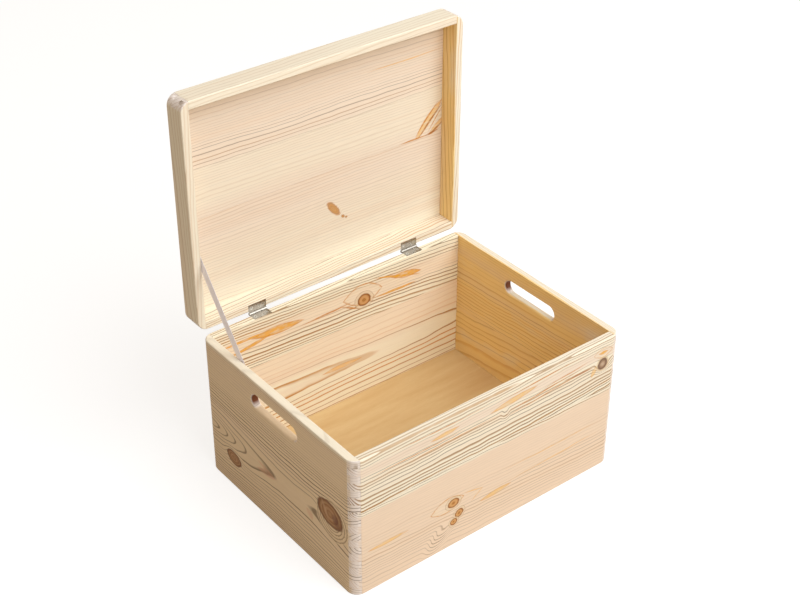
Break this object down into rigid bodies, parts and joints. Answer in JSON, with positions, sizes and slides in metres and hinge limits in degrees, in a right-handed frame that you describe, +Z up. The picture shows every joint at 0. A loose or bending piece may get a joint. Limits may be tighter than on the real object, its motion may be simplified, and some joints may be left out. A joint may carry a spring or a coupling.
{
  "type": "kindling box",
  "caption": "Lidded rectangular pine box with finger-jointed rounded corners, hand slots through the ends and a hinged lid held upright by a ribbon.",
  "frame": {"origin": "middle of the ground that the open box covers, between the front of the box and the back of the raised lid, level with the bottom edges of the walls", "axes": "+X along the box's length to the right hand as seen from the front, +Y from the front to the hinges, +Z up"},
  "size_m": [0.4, 0.3334, 0.4984],
  "materials": {
    "pine_walls": "planed and sanded, unfinished solid pine with knots and orange latewood lines",
    "pine_lid_rails": "planed and sanded, unfinished solid pine",
    "pine_lid_panel": "sanded, unfinished edge-glued pine staves",
    "floor_plywood": "smooth pale plywood sheet, matte",
    "hinge_nickel": "nickel-plated pressed steel, bright",
    "fastener_steel": "nickel-plated steel",
    "ribbon_cloth": "woven satin ribbon, pale grey-lilac"
  },
  "bodies": {
    "box": {"front_board_lower": "pine_walls", "front_board_upper": "pine_walls", "back_board_lower": "pine_walls", "back_board_upper": "pine_walls", "left_end_lower": "pine_walls", "left_end_upper": "pine_walls", "right_end_lower": "pine_walls", "right_end_upper": "pine_walls", "floor_panel": "floor_plywood", "hinge_left_box_leaf": "hinge_nickel", "hinge_right_box_leaf": "hinge_nickel", "hinge_left_pin": "hinge_nickel", "hinge_right_pin": "hinge_nickel", "hinge_left_box_screw_1": "fastener_steel", "hinge_left_box_screw_2": "fastener_steel", "hinge_right_box_screw_1": "fastener_steel", "hinge_right_box_screw_2": "fastener_steel", "lid_ribbon": "ribbon_cloth", "ribbon_box_tack": "fastener_steel"},
    "lid": {"lid_front_rail": "pine_lid_rails", "lid_back_rail": "pine_lid_rails", "lid_left_rail": "pine_lid_rails", "lid_right_rail": "pine_lid_rails", "lid_panel_front_stave": "pine_lid_panel", "lid_panel_middle_stave": "pine_lid_panel", "lid_panel_back_stave": "pine_lid_panel", "hinge_left_lid_leaf": "hinge_nickel", "hinge_right_lid_leaf": "hinge_nickel", "hinge_left_lid_screw_1": "fastener_steel", "hinge_left_lid_screw_2": "fastener_steel", "hinge_right_lid_screw_1": "fastener_steel", "hinge_right_lid_screw_2": "fastener_steel", "ribbon_lid_tack": "fastener_steel"}
  },
  "joints": [
    {"name": "lid_hinge", "type": "hinge", "parent": "box", "child": "lid", "pos_m": [0, 0.1364, 0.1953], "axis": [1, 0, 0], "range_deg": [0, 90], "deforming": ["lid_ribbon"]}
  ]
}
